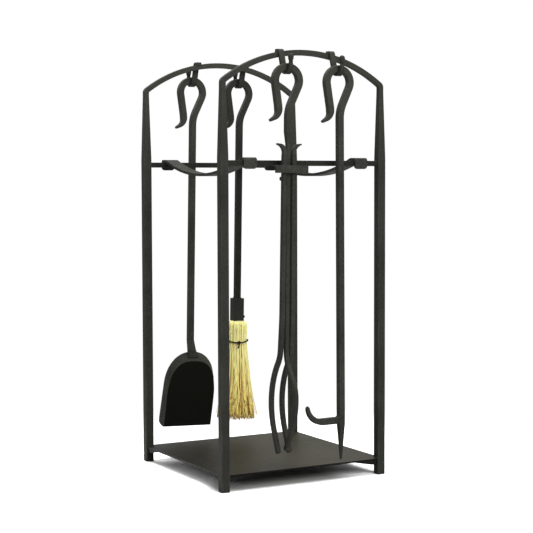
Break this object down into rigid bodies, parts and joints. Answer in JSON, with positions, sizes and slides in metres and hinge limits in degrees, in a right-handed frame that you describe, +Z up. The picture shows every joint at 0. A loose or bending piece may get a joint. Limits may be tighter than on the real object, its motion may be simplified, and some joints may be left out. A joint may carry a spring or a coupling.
{
  "type": "fireplace tool set",
  "caption": "Forged black firewood rack with arched ends, log cradle straps and a tray, with poker, shovel, brush and tongs hung by crook handles from hooks on its arches.",
  "frame": {"origin": "on the floor at the centre of the rack's square footprint", "axes": "+Z up, +X right as seen from the front, -Y the front face with the tongs and the poker"},
  "size_m": [0.3314, 0.449, 0.759],
  "materials": {
    "black_iron": "satin graphite black",
    "tray_steel": "satin graphite",
    "straw": "natural broom straw",
    "twine": "dark waxed twine",
    "screw_steel": "blackened steel"
  },
  "bodies": {
    "rack": {"front_left_post": "black_iron", "front_right_post": "black_iron", "rear_left_post": "black_iron", "rear_right_post": "black_iron", "front_arch": "black_iron", "rear_arch": "black_iron", "front_rail": "black_iron", "rear_rail": "black_iron", "left_cradle_strap": "black_iron", "right_cradle_strap": "black_iron", "tray": "tray_steel", "front_left_tray_gusset": "black_iron", "front_right_tray_gusset": "black_iron", "rear_left_tray_gusset": "black_iron", "rear_right_tray_gusset": "black_iron", "front_left_tool_hook": "black_iron", "front_right_tool_hook": "black_iron", "rear_left_tool_hook": "black_iron", "rear_right_tool_hook": "black_iron"},
    "poker": {"poker_bar": "black_iron", "poker_side_hook": "black_iron"},
    "shovel": {"shovel_handle": "black_iron", "shovel_pan": "black_iron"},
    "brush": {"brush_handle": "black_iron", "brush_ferrule": "black_iron", "ferrule_screw": "screw_steel", "bristles": "straw", "binding_twine": "twine"},
    "tongs": {"tongs_handle": "black_iron", "tongs_pivot_pin": "black_iron"},
    "tongs_jaw": {"left_jaw_rod": "black_iron", "right_jaw_rod": "black_iron", "tongs_crossbar": "black_iron"}
  },
  "joints": [
    {"name": "poker_lift", "type": "slide", "parent": "rack", "child": "poker", "axis": [0, 0, 1], "range_m": [0, 0.035]},
    {"name": "shovel_lift", "type": "slide", "parent": "rack", "child": "shovel", "axis": [0, 0, 1], "range_m": [0, 0.035]},
    {"name": "brush_lift", "type": "slide", "parent": "rack", "child": "brush", "axis": [0, 0, 1], "range_m": [0, 0.035]},
    {"name": "tongs_lift", "type": "slide", "parent": "rack", "child": "tongs", "axis": [0, 0, 1], "range_m": [0, 0.035]},
    {"name": "tongs_jaw_hinge", "type": "hinge", "parent": "tongs", "child": "tongs_jaw", "pos_m": [-0.04775, -0.18683, 0.53598], "axis": [0.9999, 0, -0.0113], "range_deg": [0, 18]}
  ]
}
